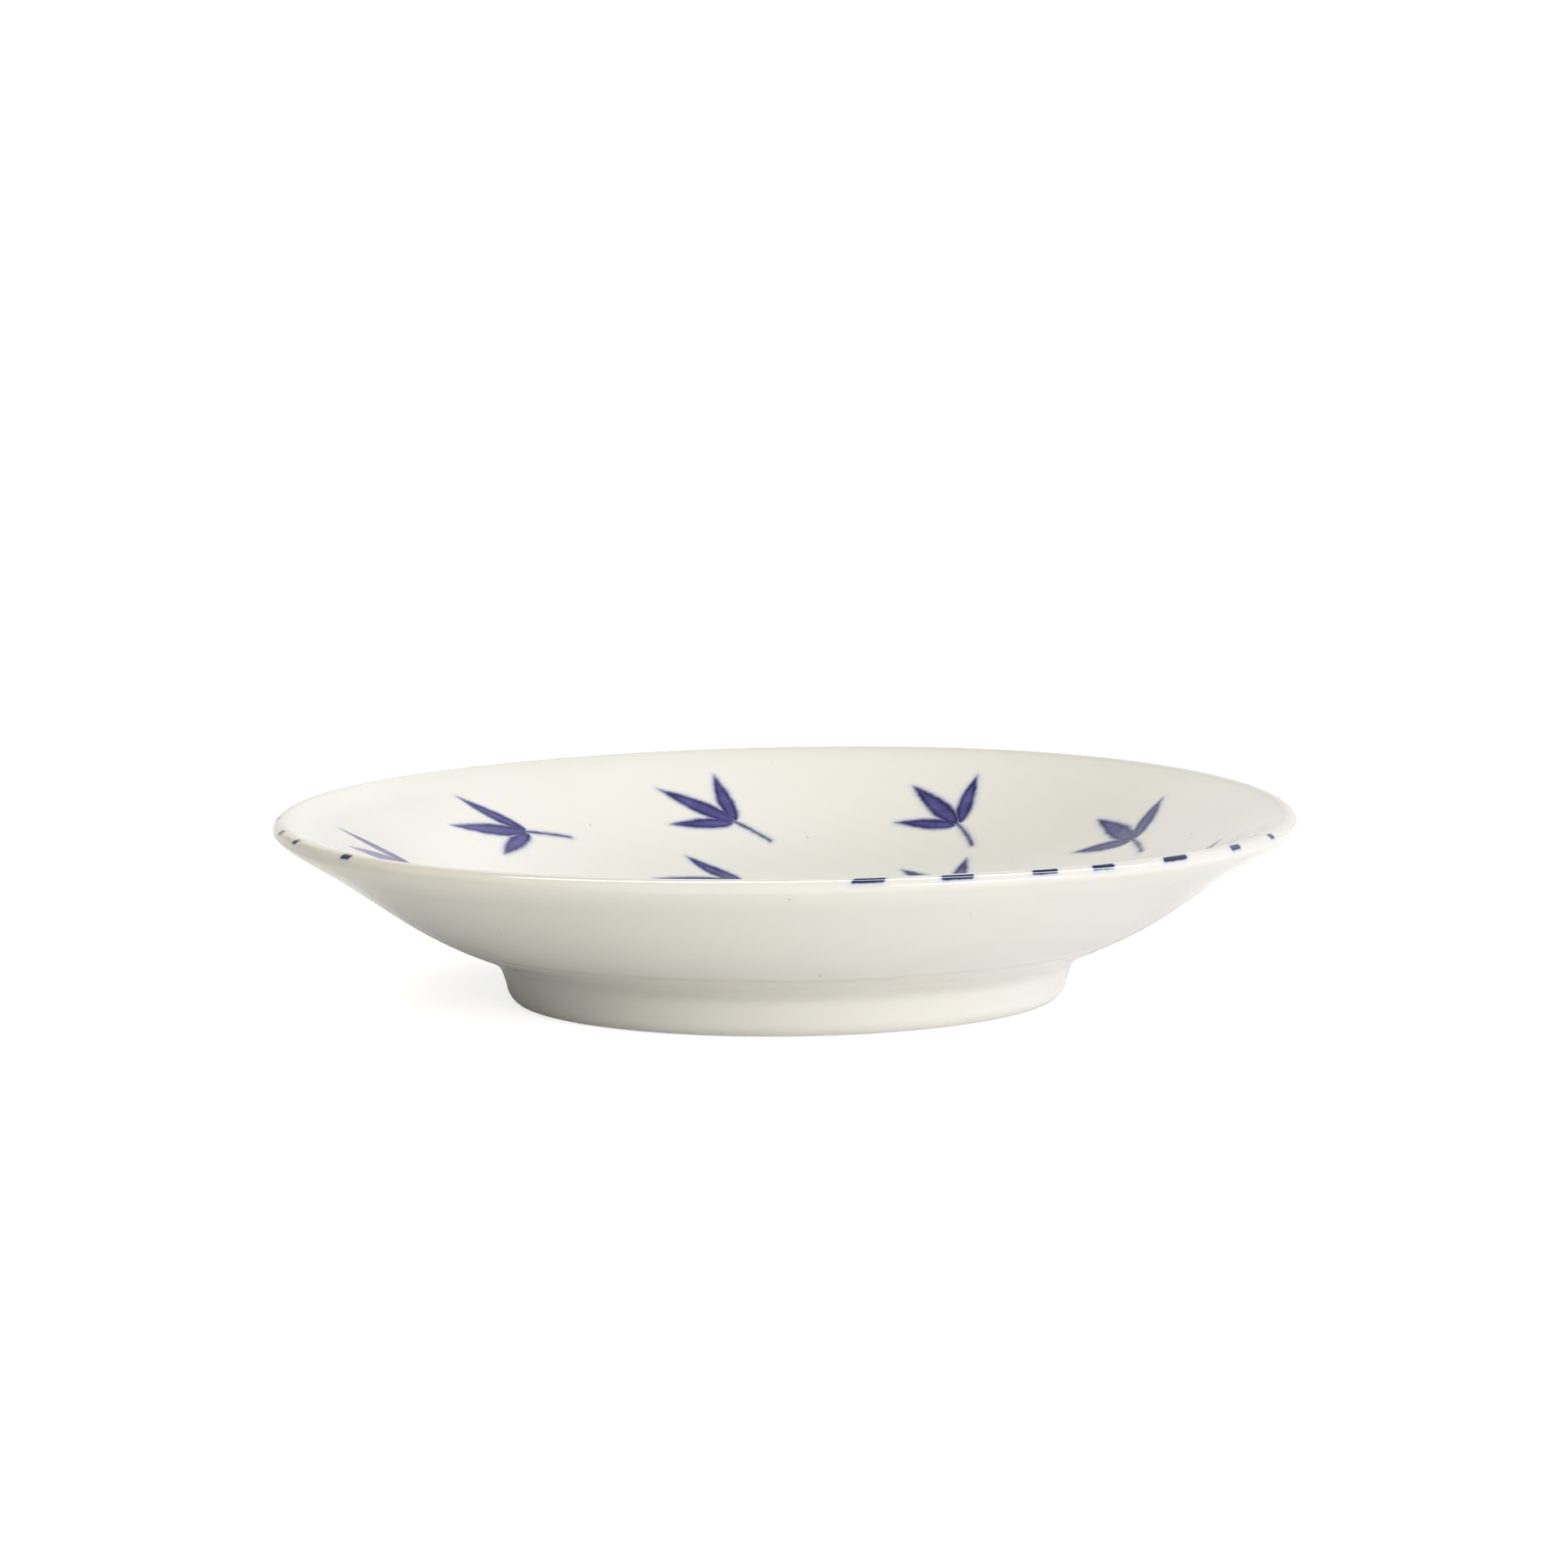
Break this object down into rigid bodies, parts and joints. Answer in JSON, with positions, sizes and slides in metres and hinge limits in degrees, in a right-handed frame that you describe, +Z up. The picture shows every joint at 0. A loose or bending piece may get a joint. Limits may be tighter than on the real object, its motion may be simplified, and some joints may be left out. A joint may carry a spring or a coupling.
{
  "type": "plate",
  "caption": "Round white porcelain coupe plate: rounded lip, curved wall down to a flat well, tapered foot ring with a bare standing edge, blue brushed decoration under clear glaze.",
  "frame": {"origin": "on the table, under the middle of the plate", "axes": "+Z up along the plate's axis; the plate is round, and the picture's camera stands on the -Y side"},
  "size_m": [0.16, 0.16, 0.029],
  "materials": {
    "biscuit": "unglazed fired porcelain, matt and fine-grained, slightly warm",
    "slip": "dried and fired slip, matt",
    "glaze": "clear gloss glaze over warm white porcelain, with cobalt blue under it on the inside and along the lip"
  },
  "bodies": {
    "root": {"dish_body": "biscuit", "luting_slip": "slip", "foot_ring": "biscuit", "glaze_coat": "glaze", "base_glaze": "glaze"}
  },
  "joints": []
}
